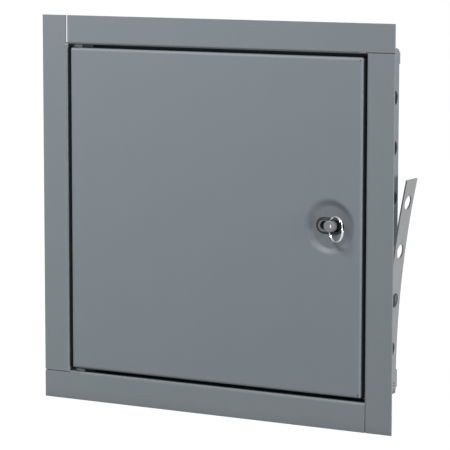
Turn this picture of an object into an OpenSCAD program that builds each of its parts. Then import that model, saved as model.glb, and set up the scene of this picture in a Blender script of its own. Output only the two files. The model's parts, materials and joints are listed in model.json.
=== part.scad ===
// Fire-rated access panel: welded trim frame, insulated self-closing leaf and ring latch.
// Origin: middle of the wall opening, in the plane of the wall's face.
// The front faces -Y, +X is the lock side and +Z is up.

/* [Opening and frame] */
// Clear width between the side walls of the frame
opening_w = 305; // [260:1:420]
// Clear height between the top and bottom walls of the frame
opening_h = 305; // [280:1:420]
// Width of the trim flange on the wall's face
trim_w = 26.5; // [20:0.5:40]
// Thickness of the frame sheet
frame_t = 1.5; // [1.2:0.1:2]
// Depth of the frame's walls behind the wall's face
frame_d = 63.5; // [62:0.5:76]
// Outer radius of the frame's bends
frame_bend = 2.5; // [2:0.1:3]
// Width of the inward lip at the rear edge
lip_w = 8; // [5:0.5:10]
// How far the rear lip stops short of the corners
lip_setback = 12; // [8:1:20]
// Gap in the butt seams of the trim
seam = 0.4; // [0.1:0.1:0.6]
// Extra width of the one open seam at the top left
open_seam = 1; // [0:0.1:1.2]
// Radius of the relief hole where two bends meet
corner_relief_r = 1.25; // [0.8:0.05:1.5]
// Chamfer on the rear corners of each wall
wall_chamfer = 4; // [1:0.5:6]

/* [Fixing holes] */
// Diameter of the punched fixing holes
hole_d = 12.7; // [8:0.1:14]
// Distance between fixing holes
hole_pitch = 44.45; // [40:0.05:48]
// Fixing holes in each wall
hole_count = 3; // [2:1:3]
// From the opening's corner to the first hole
hole_1 = 41.375; // [36:0.125:48]
// From the rear edge of the wall to the row of holes
hole_setback = 10.5; // [10:0.5:14]

/* [Anchor strap] */
// Width of the strap
strap_w = 21.5; // [17:0.1:25]
// Thickness of the strap
strap_t = 1.5; // [1.2:0.1:2]
// Length of the free part of the strap along its curve
strap_l = 186; // [160:1:200]
// Length of the flat pad that is welded to the wall
strap_pad = 7; // [5:0.5:8]
// Radius of the outward curve
strap_r = 900; // [600:10:1200]
// From the inside corner of the frame to the root of the curve
strap_root = 9; // [8.5:0.5:20]
// From the rear edge of the wall to the strap
strap_setback = 5.7; // [2.6:0.1:8]
// From the root of the curve to the strap's first hole
strap_hole_1 = 31.3; // [24:0.1:40]
// Holes in the strap
strap_holes = 4; // [1:1:4]
// Depth of the relief cut in the wall's rear edge beside the strap's root
notch_d = 2.5; // [1:0.1:2.5]
// Length of that relief cut
notch_l = 45; // [30:1:60]
// From the opening's corner to that cut
notch_start = 19.5; // [16:0.5:24]

/* [Door stops] */
// Width of the stop's face
stop_w = 10; // [8:0.5:11]
// Depth of the stop's leg on the wall
stop_leg = 12; // [8:0.5:16]
// Gap between the stops at the corners
stop_gap = 0.5; // [0.3:0.1:3]
// From the hinge side's wall to the ends of the top and bottom stops
hinge_clear = 18; // [17:1:40]
// Thickness of the stop sheet
stop_t = 1.5; // [1.2:0.1:2]

/* [Door leaf] */
// Gap between leaf and frame all round
door_gap = 3.2; // [2.6:0.1:4]
// Thickness of the leaf sheet
leaf_t = 1; // [0.8:0.1:1.2]
// Total thickness of the leaf
leaf_d = 50.8; // [46:0.1:53]
// Depth of the front pan's returns, measured from the face
return_d = 16; // [15:0.5:18]
// Outer radius of the leaf's edges and corners
leaf_r = 3; // [2:0.1:3.5]
// How far the back pan is set in from the leaf's edge
pan_inset = 14; // [13:0.5:20]
// Outer radius of the back pan's bends
pan_r = 2.5; // [1.5:0.1:4]
// Width of the back pan's welding flange
pan_flange = 6; // [4:0.5:6]
// Radius of the relief holes at the leaf's corners
leaf_relief_r = 0.7; // [0.4:0.05:0.9]

/* [Hinge] */
// From the leaf's edge to the hinge axis
hinge_in = 6.5; // [6.2:0.1:7]
// From the leaf's face to the hinge axis
hinge_back = 6; // [5.5:0.1:7]
// Diameter of the hinge rod
rod_d = 4.8; // [4:0.1:5]
// How far the rod stands out of the frame at each end
rod_end = 4; // [3:0.5:6]
// Thickness of the rod's push-on clips
clip_t = 1; // [0.8:0.1:1.2]
// Outer diameter of the clips
clip_d = 6.8; // [6.4:0.1:7]
// Outer diameter of the thrust washers
washer_d = 9.6; // [8:0.1:10]
// Thickness of the hinge brackets
bracket_t = 2; // [1.5:0.1:2.5]
// Length of the brackets' legs on the leaf sheet
bracket_leg = 13; // [8:1:13]
// Wire of the closing spring
closer_wire = 1.2; // [1:0.1:1.3]
// Outer diameter of the closing spring
closer_d = 8.5; // [8.1:0.1:8.6]
// Turns of the closing spring
closer_turns = 12; // [6:1:16]
// Pitch of the closing spring
closer_pitch = 2; // [1.8:0.1:2.4]

/* [Latch cup] */
// From the leaf's lock edge to the latch axis
latch_in = 31.4; // [30:0.1:36]
// From the middle of the leaf up to the latch axis
latch_up = 1.2; // [0:0.1:20]
// Outer diameter of the pressed cup
cup_d = 48; // [46:0.5:49]
// Diameter of the cup's flat floor
cup_floor_d = 36.6; // [35:0.1:38]
// Depth of the cup
cup_depth = 2.8; // [2.6:0.1:3.5]
// How much steeper the cup's wall gets towards its floor; 1 is an even curve
cup_lean = 1.5; // [1:0.1:2]
// Length of the obround escutcheon
plate_l = 25.4; // [24:0.1:27]
// Width of the obround escutcheon
plate_w = 12.9; // [12.8:0.1:15]
// How far the escutcheon's middle lies from the latch axis, away from the lock edge
plate_shift = 0.9; // [0:0.1:2]
// Width of the escutcheon's rim, round its open pocket at the lock side
plate_rim = 0.8; // [0.5:0.05:0.85]
// Width of the escutcheon's face beside the slot at its other end
plate_land = 3.1; // [2:0.1:4]
// Width of that slot
plate_slot_w = 8.6; // [7:0.1:10]
// Groove round the escutcheon
plate_gap = 0.8; // [0.3:0.1:1]
// Height of the escutcheon above the cup's floor
plate_proud = 0.5; // [0:0.1:0.5]
// Length of the escutcheon behind the cup
plate_back = 2.9; // [2.5:0.1:4]
// Thickness of the escutcheon's hidden flange
plate_flange_t = 1.2; // [1:0.1:1.5]
// Width of the escutcheon's hidden flange
plate_flange = 2; // [1:0.5:3]

/* [Latch spindle] */
// Diameter of the spindle's head
head_d = 10.4; // [10:0.1:10.6]
// How far the head stands proud of the leaf's face
head_proud = 2.1; // [2:0.1:3]
// How far the head's base stands out beyond its front, all round
head_step = 0.25; // [0.1:0.05:0.25]
// From the head's front to its wider base
head_step_y = 3.4; // [3:0.1:4]
// Diameter of the spindle's shaft
shaft_d = 8; // [7:0.1:8.4]
// Outer diameter of the front bushing
bushing_d = 13.6; // [13:0.1:13.8]
// Thickness of the front bushing's flange
bushing_flange_t = 1.5; // [1:0.1:2]
// Radial play of the turning fits
fit = 0.05; // [0.02:0.01:0.1]
// Depth of the flat that drives the cam and the lever
flat_d = 1; // [0.5:0.1:1.5]
// Radius on which the cam's nose swings
cam_r = 12; // [11:0.1:12.5]
// Turn of the spindle from latched to free, in degrees
cam_turn = 60; // [50:1:60]
// Thickness of the cam
cam_t = 5.5; // [4:0.1:5.6]
// Diameter of the cam's nose
nose_d = 5; // [4:0.1:5]
// Length of the inside release lever
lever_l = 28; // [20:1:32]
// Thickness of the release lever
lever_t = 3; // [2:0.1:4]

/* [Pull ring] */
// Mean diameter of the pull ring
ring_d = 22.1; // [21:0.1:24]
// Wire of the ring, which has two turns side by side
ring_wire = 1.3; // [1.1:0.1:1.4]
// Diameter of the cross hole for the ring
ring_hole_d = 4.5; // [4.4:0.1:4.6]
// Metal left in front of that hole
ring_hole_wall = 0.8; // [0.6:0.1:1]
// How far the ring hangs below the latch axis
ring_drop = 1.6; // [0:0.1:1.6]
// Angle between the resting ring and the leaf's face
ring_rest = 32; // [20:1:60]

/* [Latch case and bolt] */
// Length of the latch case
case_l = 52; // [50:0.5:56]
// Height of the latch case
case_h = 42; // [40:1:48]
// Depth of the latch case
case_d = 27.8; // [27:0.1:30]
// Thickness of the case's walls
case_t = 1.5; // [1.2:0.1:2]
// Width of the bolt
bolt_w = 15; // [13:0.1:15]
// Thickness of the bolt
bolt_t = 14; // [12:0.1:14.5]
// How far the bolt reaches behind the door stop
bolt_reach = 7.5; // [6:0.1:8]
// Running gap round the bolt and between moving parts
play = 0.3; // [0.2:0.05:0.4]
// Wire of the bolt's spring
bolt_spring_wire = 1; // [0.8:0.1:1.1]
// Outer diameter of the bolt's spring
bolt_spring_d = 8; // [7.6:0.1:9]
// Turns of the bolt's spring
bolt_spring_turns = 7; // [4:1:8]
// Diameter of the latch screws' threads
screw_d = 3; // [2.5:0.1:3.5]

/* [Hidden] */
$fn = 64;

// Half sizes of the opening
half_w = opening_w / 2;
half_h = opening_h / 2;
// Leaf: face flush with the trim's face
face_y = -frame_t;
leaf_w = opening_w - 2 * door_gap;
leaf_h = opening_h - 2 * door_gap;
leaf_in_y = face_y + leaf_t;
leaf_back_y = face_y + leaf_d;
pan_w = leaf_w - 2 * pan_inset;
pan_h = leaf_h - 2 * pan_inset;
// Frame walls
hole_y = frame_d - hole_setback;
strap_y = frame_d - strap_setback - strap_w;
strap_angle = strap_l / strap_r * 180 / PI;
// Door stops
stop_y = face_y + return_d + play;
stop_back_y = stop_y + stop_t;
// Hinge
hinge_x = -leaf_w / 2 + hinge_in;
hinge_y = face_y + hinge_back;
rod_top = half_h + frame_t + rod_end;
// A seated piece that turns leaves this gap to its neighbour
washer_t = door_gap - play;
bracket_slack = 0.5;
bracket_bend = leaf_r - leaf_t + bracket_slack;
closer_r = (closer_d - closer_wire) / 2;
closer_top = closer_turns * closer_pitch / 2;
tang_hole_d = closer_wire + play;
// Latch levels, from the front to the back
latch_x = leaf_w / 2 - latch_in;
cup_floor_y = face_y + cup_depth;
cup_back_y = cup_floor_y + leaf_t;
plate_x = latch_x - plate_shift;
plate_y = cup_floor_y - plate_proud;
case_y = cup_back_y + plate_back;
case_in_y = case_y + case_t;
case_back_y = case_y + case_d;
case_x1 = pan_w / 2 - leaf_t - play;
case_x0 = case_x1 - case_l;
bushing_end_y = case_in_y + bushing_flange_t;
base_d = head_d + 2 * head_step;
head_y = face_y - head_proud;
collar_d = 15;
collar_t = 1.2;
collar_y = bushing_end_y + play;
cam_y = collar_y + collar_t;
bolt_y = stop_back_y + play;
bolt_back_y = bolt_y + bolt_t;
nose_reach = 8;
nose_y = bolt_y + nose_reach;
cover_end_y = case_back_y + case_t;
release_flange_y = leaf_back_y;
release_flange_t = 1;
lever_y = release_flange_y + release_flange_t + play;
hub_t = 5;
clip_y = lever_y + hub_t + play;
spindle_end_y = clip_y + clip_t + 1.5;
// How much the release bushing's wall and the clip's grip add to the shaft's radius
sleeve_t = 2;
groove_t = 1;
// Cam nose: below the axis, on the lock side of it at rest
nose_x = cam_r * sin(cam_turn / 2);
nose_z = -cam_r * cos(cam_turn / 2);
bolt_travel = 2 * nose_x;
bolt_tip_x = half_w - stop_w + bolt_reach;
bolt_web = 10.7;
bolt_tail_x = latch_x - shaft_d / 2 - bolt_web;
bolt_bevel = 10;
foot_w = 6;
foot_x1 = latch_x + nose_x - nose_d / 2 - play;
foot_z = -nose_z + nose_d / 2 + 2;
spigot_d = bolt_spring_d - 2 * bolt_spring_wire - 1;
spigot_l = 6;
spring_y = (bolt_y + bolt_back_y) / 2;
// Screws in the corners of the latch case
screw_inset = 4;
screw_post_d = 6;
screw_head_d = 5.5;
screw_head_t = 1.8;
screw_l = 10;
// Feet that carry the case on the leaf sheet
foot_strip_l = 32;
foot_strip_x = case_x1 - foot_strip_l - screw_inset;
foot_strip_z = cup_d / 2 + 3;
foot_flange_w = 6;
// Pull ring: its wire runs through the middle of the cross hole
ring_mean_r = ring_d / 2;
ring_lead = sagitta(ring_mean_r, head_d / 2 + ring_drop) / 2;
ring_reach = ring_mean_r - ring_lead;
ring_hole_y = head_y + ring_hole_wall + ring_hole_d / 2;
// Room that the insulation leaves round the latch
pocket_gap = play;
// Overlap that makes cuts go clean through
cut = 1;

trim_colour = [0.50, 0.53, 0.55];
dark_colour = [0.20, 0.20, 0.21];
leaf_colour = [0.49, 0.52, 0.55];
strap_colour = [0.61, 0.62, 0.62];
steel_colour = [0.66, 0.67, 0.69];
zinc_colour = [0.74, 0.75, 0.76];
wool_colour = [0.62, 0.58, 0.42];

// Height of an arc of radius r above the chord that ends h from its middle
function sagitta(r, h) = r - sqrt(r * r - h * h);

// Unit vector
function unit(v) = v / norm(v);

// Direction of a path at point i
function heading(p, i) = unit(p[min(i + 1, len(p) - 1)] - p[max(i - 1, 0)]);

// Round wire along a path; ref is a direction that the path never takes
module wire(path, d, ref) {
    sides = 8;
    points = [for (i = [0 : len(path) - 1])
        let (t = heading(path, i), n = unit(cross(t, ref)), b = cross(t, n))
        for (k = [0 : sides - 1])
            path[i] + d / 2 * (n * cos(360 * k / sides) + b * sin(360 * k / sides))];
    last = (len(path) - 1) * sides;
    walls = [for (i = [0 : len(path) - 2]) for (k = [0 : sides - 1])
        let (j = (k + 1) % sides)
            [i * sides + k, i * sides + j, (i + 1) * sides + j, (i + 1) * sides + k]];
    ends = [[for (k = [sides - 1 : -1 : 0]) k], [for (k = [0 : sides - 1]) last + k]];
    polyhedron(points, concat(walls, ends), convexity = 10);
}

// Quarter of a bent sheet's corner, in the quadrant where x and y are positive
module bend_quarter(outer, t) {
    intersection() {
        difference() {
            circle(outer);
            circle(outer - t);
        }
        square(outer + cut);
    }
}

// Rectangle with round corners, about the origin
module round_rect(w, h, r) {
    square([w - 2 * r, h], center = true);
    square([w, h - 2 * r], center = true);
    for (x = [-1, 1], y = [-1, 1])
        translate([x * (w / 2 - r), y * (h / 2 - r)]) circle(r);
}

// Obround about the origin, long in x
module obround(l, w) {
    square([l - w, w], center = true);
    for (x = [-1, 1]) translate([x * (l - w) / 2, 0]) circle(w / 2);
}

// Slab's plan: flat back at y = d, two round corners at y = 0
module front_round(w, d, r) {
    translate([-w / 2, r]) square([w, d - r]);
    translate([-w / 2 + r, 0]) square([w - 2 * r, d]);
    for (x = [-1, 1]) translate([x * (w / 2 - r), r]) circle(r);
}

// Turns an outline in X and Z into a plate from y = 0 to y = d
module slab(d) {
    translate([0, d, 0]) rotate([90, 0, 0]) linear_extrude(d) children();
}

// Slab with round edges and corners at its front, which is at y = 0
module pressed_block(w, h, d, r) {
    intersection() {
        slab(d) round_rect(w, h, r);
        linear_extrude(h, center = true) front_round(w, d, r);
        rotate([0, 90, 0]) linear_extrude(w, center = true) front_round(h, d, r);
    }
}

// Open pan folded from sheet, with its face at y = 0
module pressed_pan(w, h, d, r, t) {
    difference() {
        pressed_block(w, h, d, r);
        translate([0, t, 0]) pressed_block(w - 2 * t, h - 2 * t, d, r - t);
    }
}

// Lifts what is drawn round the latch axis to the latch's height
module raised() {
    translate([0, 0, latch_up]) children();
}

// Cylinder along Y from y0 to y1, at the latch axis
module latch_disc(d, y0, y1) {
    translate([latch_x, y0, 0]) rotate([-90, 0, 0]) cylinder(d = d, h = y1 - y0);
}

// Solid of revolution about the latch axis; the profile is [radius, depth]
module latch_turned(profile) {
    translate([latch_x, 0, 0]) rotate([-90, 0, 0]) rotate_extrude() polygon(profile);
}

// Shaft outline with its driving flat, for the spindle and what it drives
module flatted(d, clearance) {
    intersection() {
        circle(d = d + 2 * clearance);
        translate([-d, -d]) square([2 * d, 3 * d / 2 - flat_d + clearance]);
    }
}

// Smooth wall of the pressed cup, from the rim to the floor, as [radius, depth]
function cup_curve(shift) = let (steps = 12) [for (i = [0 : steps])
    [cup_d / 2 - (cup_d - cup_floor_d) / 2 * i / steps,
        face_y + cup_depth * (1 - cos(180 * pow(i / steps, cup_lean))) / 2 + shift]];

// Where a member of the frame lies: 0 right, 1 top, 2 left, 3 bottom
module at_side(side) {
    rotate([0, -90 * side, 0]) children();
}

// Half of the opening across and along each side's member
function reach(side) = side % 2 == 0 ? half_w : half_h;
function half(side) = side % 2 == 0 ? half_h : half_w;

// Sheet section: trim flange, bend and wall, with or without the rear lip
module member_section(r, depth, lip) {
    translate([r + frame_bend, face_y]) square([trim_w - frame_bend, frame_t]);
    translate([r + frame_bend, face_y + frame_bend]) rotate(180)
        bend_quarter(frame_bend, frame_t);
    wall_section(r, face_y + frame_bend, depth, lip);
}

// Wall alone, from y0 back to its rear edge or lip
module wall_section(r, y0, depth, lip) {
    end = lip ? depth - frame_bend : depth;
    translate([r, y0]) square([frame_t, end - y0]);
    if (lip) {
        translate([r + frame_t - frame_bend, end]) bend_quarter(frame_bend, frame_t);
        translate([r - lip_w, depth - frame_t])
            square([lip_w + frame_t - frame_bend, frame_t]);
    }
}

// One welded member, drawn as the right one; extra opens its seam
module frame_member(side, extra = 0) {
    r = reach(side);
    h = half(side);
    top = h - seam - extra;
    bottom = -h + seam;
    cut_start = -h + notch_start;
    cut_end = cut_start + notch_l;
    lip_top = h - lip_setback;
    difference() {
        union() {
            // Beside the strap's root: plain rear edge, then the relief cut
            translate([0, 0, bottom]) linear_extrude(cut_start - bottom)
                member_section(r, frame_d, false);
            translate([0, 0, cut_start]) linear_extrude(notch_l)
                member_section(r, frame_d - notch_d, false);
            translate([0, 0, cut_end]) linear_extrude(lip_top - cut_end)
                member_section(r, frame_d, true);
            translate([0, 0, lip_top]) linear_extrude(top - lip_top)
                member_section(r, frame_d, false);
            // The wall covers the end of the next member's wall
            translate([r, 0, top - cut])
                cube([frame_t, frame_d, h + frame_t - top + cut]);
            // The flange fills the corner of the trim
            translate([r, face_y, -h - trim_w]) cube([trim_w, frame_t, trim_w]);
            translate([r + frame_bend, face_y, -h - cut])
                cube([trim_w - frame_bend, frame_t, seam + 2 * cut]);
        }
        // The corner's rear stays clear of the end of the next member's wall
        translate([r - cut, -seam, -h - frame_t - seam])
            cube([frame_t + seam + cut, seam + cut, frame_t + 2 * seam]);
        translate([r, face_y - cut, -h]) rotate([-90, 0, 0])
            cylinder(r = corner_relief_r, h = frame_t + cut);
        for (i = [0 : hole_count - 1])
            translate([r - cut, hole_y, h - hole_1 - i * hole_pitch])
                rotate([0, 90, 0]) cylinder(d = hole_d, h = frame_t + 2 * cut);
        for (z = [bottom, h + frame_t])
            translate([r + frame_t / 2, frame_d, z]) rotate([45, 0, 0])
                cube([frame_t + 2 * cut, wall_chamfer * sqrt(2), wall_chamfer * sqrt(2)],
                    center = true);
    }
}

// What lies on the outer side of a line that leaves the wall in an arc; the root is at 0, 0
module outside_of_curve(shift) {
    translate([shift, -strap_pad]) square([strap_r, strap_pad]);
    translate([strap_r, 0]) circle(strap_r - shift, $fn = 720);
}

// Side view of the strap, with the root of its curve at 0, 0
module strap_outline() {
    tip = [strap_r - 1.1 * strap_r * cos(strap_angle), 1.1 * strap_r * sin(strap_angle)];
    difference() {
        intersection() {
            outside_of_curve(0);
            polygon([[strap_r, 0], tip, [-strap_r, tip[1]], [-strap_r, -strap_pad],
                [strap_r, -strap_pad]]);
        }
        outside_of_curve(strap_t);
    }
}

// Strap on the outside of a wall, drawn as the right one
module anchor_strap(side) {
    r = reach(side) + frame_t;
    root = -half(side) + strap_root;
    difference() {
        translate([r, strap_y, root]) slab(strap_w) strap_outline();
        for (i = [0 : strap_holes - 1]) {
            a = (strap_hole_1 + i * hole_pitch) / strap_r * 180 / PI;
            translate([r + strap_r, strap_y + strap_w / 2, root]) rotate([0, a - 90, 0])
                translate([0, 0, strap_r - strap_t - cut])
                    cylinder(d = hole_d, h = strap_t + 2 * cut);
        }
    }
}

// Angle strip that the leaf closes on, drawn on the right wall from z0 to z1
module door_stop(r, z0, z1) {
    translate([r - stop_w, stop_y, z0]) cube([stop_w, stop_t, z1 - z0]);
    translate([r - stop_t, stop_y, z0]) cube([stop_t, stop_leg, z1 - z0]);
}

// Hole for the hinge rod through the top or bottom wall
module rod_hole(z) {
    translate([hinge_x, hinge_y, z - frame_t - cut]) cylinder(d = rod_d + 2 * fit,
        h = 2 * frame_t + 2 * cut);
}

module frame_right() {
    color(trim_colour) frame_member(0);
}

module frame_top() {
    color(trim_colour) difference() {
        at_side(1) frame_member(1, open_seam);
        rod_hole(half_h + frame_t / 2);
    }
}

module frame_left() {
    color(trim_colour) at_side(2) frame_member(2);
}

module frame_bottom() {
    color(trim_colour) difference() {
        at_side(3) frame_member(3);
        rod_hole(-half_h - frame_t / 2);
    }
}

module anchor_strap_right() {
    color(strap_colour) anchor_strap(0);
}

module anchor_strap_top() {
    color(strap_colour) at_side(1) anchor_strap(1);
}

module anchor_strap_left() {
    color(strap_colour) at_side(2) anchor_strap(2);
}

module anchor_strap_bottom() {
    color(strap_colour) at_side(3) anchor_strap(3);
}

module door_stop_lock_side() {
    end = half_h - stop_gap;
    color(trim_colour) door_stop(half_w, -end, end);
}

// The top and bottom stops stay clear of the leaf's swing at the hinge
module door_stop_top() {
    color(trim_colour)
        at_side(1) door_stop(half_h, -half_w + stop_w + stop_gap, half_w - hinge_clear);
}

module door_stop_bottom() {
    color(trim_colour)
        at_side(3) door_stop(half_h, -half_w + hinge_clear, half_w - stop_w - stop_gap);
}

module hinge_rod() {
    chamfer = 0.8;
    color(steel_colour) translate([hinge_x, hinge_y, 0]) difference() {
        union() {
            cylinder(d = rod_d, h = 2 * rod_top - 2 * chamfer, center = true);
            for (m = [0, 1]) mirror([0, 0, m]) translate([0, 0, rod_top - chamfer])
                cylinder(d1 = rod_d, d2 = rod_d - 2 * chamfer, h = chamfer);
        }
        translate([0, 0, -closer_top]) rotate([0, 90, 0])
            cylinder(d = tang_hole_d, h = rod_d + 2 * cut, center = true);
    }
}

module hinge_rod_clips() {
    color(steel_colour) for (m = [0, 1]) mirror([0, 0, m])
        translate([hinge_x, hinge_y, half_h + frame_t]) difference() {
            cylinder(d = clip_d, h = clip_t);
            translate([0, 0, -cut]) cylinder(d = rod_d + 2 * fit, h = clip_t + 2 * cut);
        }
}

// Washer that fills the gap between leaf and frame; the leaf runs on its face
module thrust_washer() {
    color(dark_colour) translate([hinge_x, hinge_y, half_h - washer_t]) difference() {
        cylinder(d = washer_d, h = washer_t);
        translate([0, 0, -cut]) cylinder(d = rod_d + 2 * fit, h = washer_t + 2 * cut);
    }
}

module upper_thrust_washer() {
    thrust_washer();
}

module lower_thrust_washer() {
    mirror([0, 0, 1]) thrust_washer();
}

// Face of the leaf: rolled edges, the pressed cup and its opening
module door_front_pan() {
    rim_y = leaf_in_y - leaf_t / 2;
    color(leaf_colour) difference() {
        union() {
            translate([0, face_y, 0]) pressed_pan(leaf_w, leaf_h, return_d, leaf_r, leaf_t);
            raised() latch_turned(concat([[0, rim_y], [cup_d / 2, rim_y]], cup_curve(leaf_t),
                [[0, cup_back_y]]));
        }
        raised() latch_turned(concat([[0, face_y - cut], [cup_d / 2, face_y - cut]],
            cup_curve(0), [[0, cup_floor_y]]));
        raised() translate([plate_x, cup_floor_y - cut, 0]) slab(leaf_t + 2 * cut)
            obround(plate_l + 2 * plate_gap, plate_w + 2 * plate_gap);
        for (m = [0, 1]) mirror([0, 0, m])
            translate([hinge_x, hinge_y, leaf_h / 2 - leaf_t - cut])
                cylinder(d = rod_d + 2 * play, h = leaf_t + 2 * cut);
        // Relief holes where the folds meet, at the lock side only
        for (z = [-1, 1])
            translate([leaf_w / 2 - leaf_r, face_y - cut, z * (leaf_h / 2 - leaf_r)])
                rotate([-90, 0, 0]) cylinder(r = leaf_relief_r, h = leaf_t + 2 * cut);
    }
}

// Deep pan behind the leaf's face, with a flange that lies on the face's sheet
module door_back_pan() {
    w = pan_flange + leaf_t / 2;
    color(zinc_colour) difference() {
        union() {
            translate([0, leaf_back_y, 0]) mirror([0, 1, 0])
                pressed_pan(pan_w, pan_h, leaf_back_y - leaf_in_y, pan_r, leaf_t);
            for (x = [-1, 1]) translate([x * (pan_w / 2 + w / 2 - leaf_t / 2),
                leaf_in_y + leaf_t / 2, 0]) cube([w, leaf_t, pan_h - 4 * pan_r], center = true);
            for (z = [-1, 1]) translate([0, leaf_in_y + leaf_t / 2,
                z * (pan_h / 2 + w / 2 - leaf_t / 2)])
                    cube([pan_w - 4 * pan_r, leaf_t, w], center = true);
        }
        raised() latch_disc(cup_d + 2 * play, leaf_in_y - cut, cup_back_y + play);
        raised() translate([case_x1 - cut, bolt_y - play, -bolt_w / 2 - play])
            cube([2 * leaf_t + 2 * cut, bolt_t + 2 * play, bolt_w + 2 * play]);
        raised() latch_disc(shaft_d + 2 * sleeve_t + 2 * fit, leaf_back_y - leaf_t - cut,
            leaf_back_y + cut);
    }
}

// Mineral wool slab that fills the back pan
module insulation_core() {
    gap = pocket_gap;
    color(wool_colour) difference() {
        translate([0, leaf_back_y - leaf_t, 0]) mirror([0, 1, 0])
            pressed_block(pan_w - 2 * leaf_t, pan_h - 2 * leaf_t,
                leaf_back_y - leaf_t - leaf_in_y, pan_r - leaf_t);
        // Pocket for the latch case, the heads of its screws, its feet and the cup
        raised() {
            translate([case_x0 - gap, leaf_in_y - cut, -case_h / 2 - gap])
                cube([case_l + 2 * gap + cut,
                    cover_end_y + screw_head_t + gap - leaf_in_y + cut, case_h + 2 * gap]);
            translate([foot_strip_x - gap, leaf_in_y - cut,
                -foot_strip_z - foot_flange_w - case_t - gap])
                    cube([foot_strip_l + 2 * gap, case_in_y + gap - leaf_in_y + cut,
                        2 * (foot_strip_z + foot_flange_w + case_t + gap)]);
            latch_disc(cup_d + 2 * gap, leaf_in_y - cut, cup_back_y + gap);
            latch_disc(shaft_d + 2 * sleeve_t + 2 * gap, cover_end_y, leaf_back_y);
        }
    }
}

// Bent bracket on the face's sheet; the hinge rod turns in it
module hinge_bracket() {
    inner_z = leaf_h / 2 - leaf_t;
    bend_y = leaf_in_y + bracket_bend;
    l = rod_d + 2 * bracket_t;
    color(steel_colour) difference() {
        // The leg starts where the leaf's inside corner ends
        translate([-leaf_w / 2 + leaf_r, 0, 0]) rotate([90, 0, 90]) linear_extrude(l) {
            translate([leaf_in_y, inner_z - bracket_bend - bracket_leg])
                square([bracket_t, bracket_leg]);
            translate([bend_y, inner_z - bracket_bend]) rotate(90)
                bend_quarter(bracket_bend, bracket_t);
            translate([bend_y, inner_z - bracket_t]) square([l, bracket_t]);
        }
        translate([hinge_x, hinge_y, inner_z - bracket_t - cut])
            cylinder(d = rod_d + 2 * fit, h = bracket_t + 2 * cut);
    }
}

module upper_hinge_bracket() {
    hinge_bracket();
}

module lower_hinge_bracket() {
    mirror([0, 0, 1]) hinge_bracket();
}

// Torsion spring: its tang is held in the rod, its leg pushes the leaf's left edge
module closing_spring() {
    steps = 16;
    leg = hinge_back - leaf_t - closer_wire / 2 - play;
    coil = [for (i = [0 : closer_turns * steps])
        [closer_r * cos(360 * i / steps), closer_r * sin(360 * i / steps),
            closer_pitch * i / steps - closer_top]];
    tang = [[-rod_d / 2, 0, -closer_top], [closer_r - 1, 0, -closer_top]];
    half_turn = [for (i = [1 : steps / 2])
        [closer_r * cos(360 * i / steps), closer_r * sin(360 * i / steps), closer_top]];
    end = [[-closer_r, -leg, closer_top]];
    color(steel_colour) translate([hinge_x, hinge_y, 0])
        wire(concat(tang, coil, half_turn, end), closer_wire, [0, 0, 1]);
}

// Folded case with screw posts, a front plate and feet on the leaf sheet
module latch_case() {
    post_x = [case_x0 + screw_inset, case_x1 - screw_inset];
    post_z = case_h / 2 - screw_inset;
    strip_h = foot_strip_z + case_t;
    color(dark_colour) raised() difference() {
        union() {
            difference() {
                translate([case_x0, case_y, -case_h / 2]) cube([case_l, case_d, case_h]);
                translate([case_x0 + case_t, case_in_y, -case_h / 2 + case_t])
                    cube([case_l - 2 * case_t, case_d, case_h - 2 * case_t]);
            }
            for (x = post_x, z = [-1, 1])
                translate([x, case_y, z * post_z]) rotate([-90, 0, 0])
                    cylinder(d = screw_post_d, h = case_d);
            // Front plate and its feet on the leaf sheet
            translate([foot_strip_x, case_y, -strip_h]) cube([foot_strip_l, case_t, 2 * strip_h]);
            for (m = [0, 1]) mirror([0, 0, m]) {
                translate([foot_strip_x, leaf_in_y, foot_strip_z])
                    cube([foot_strip_l, case_in_y - leaf_in_y, case_t]);
                translate([foot_strip_x, leaf_in_y, foot_strip_z])
                    cube([foot_strip_l, case_t, foot_flange_w + case_t]);
            }
        }
        latch_disc(bushing_d + 2 * fit, case_y - cut, case_in_y + cut);
        for (x = post_x, z = [-1, 1])
            translate([x, case_back_y - screw_l, z * post_z]) rotate([-90, 0, 0])
                cylinder(d = screw_d + 2 * fit, h = screw_l + cut);
        translate([case_x1 - case_t - cut, bolt_y - play, -bolt_w / 2 - play])
            cube([case_t + 2 * cut, bolt_t + 2 * play, bolt_w + 2 * play]);
    }
}

// Lid on the case's back
module latch_cover() {
    color(dark_colour) raised() difference() {
        translate([case_x0, case_back_y, -case_h / 2]) cube([case_l, case_t, case_h]);
        latch_disc(shaft_d + 2 * fit, case_back_y - cut, cover_end_y + cut);
        for (x = [case_x0 + screw_inset, case_x1 - screw_inset], z = [-1, 1])
            translate([x, case_back_y - cut, z * (case_h / 2 - screw_inset)])
                rotate([-90, 0, 0]) cylinder(d = screw_d + 2 * fit, h = case_t + 2 * cut);
    }
}

// Four screws that hold the lid
module latch_screws() {
    color(steel_colour) raised()
        for (x = [case_x0 + screw_inset, case_x1 - screw_inset], z = [-1, 1])
        translate([x, cover_end_y, z * (case_h / 2 - screw_inset)]) rotate([-90, 0, 0]) {
            cylinder(d = screw_head_d, h = screw_head_t);
            translate([0, 0, play - screw_l]) cylinder(d = screw_d, h = screw_l);
        }
}

// What the escutcheon leaves open: a slot, the spindle's hole and a pocket for the ring
module plate_opening() {
    axis = plate_shift;
    translate([axis, 0]) circle(d = base_d + 2 * play);
    hull() for (x = [(plate_slot_w - plate_l) / 2 + plate_land, axis])
        translate([x, 0]) circle(d = plate_slot_w);
    intersection() {
        obround(plate_l - 2 * plate_rim, plate_w - 2 * plate_rim);
        translate([axis, -plate_w]) square([plate_l, 2 * plate_w]);
    }
}

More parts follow.
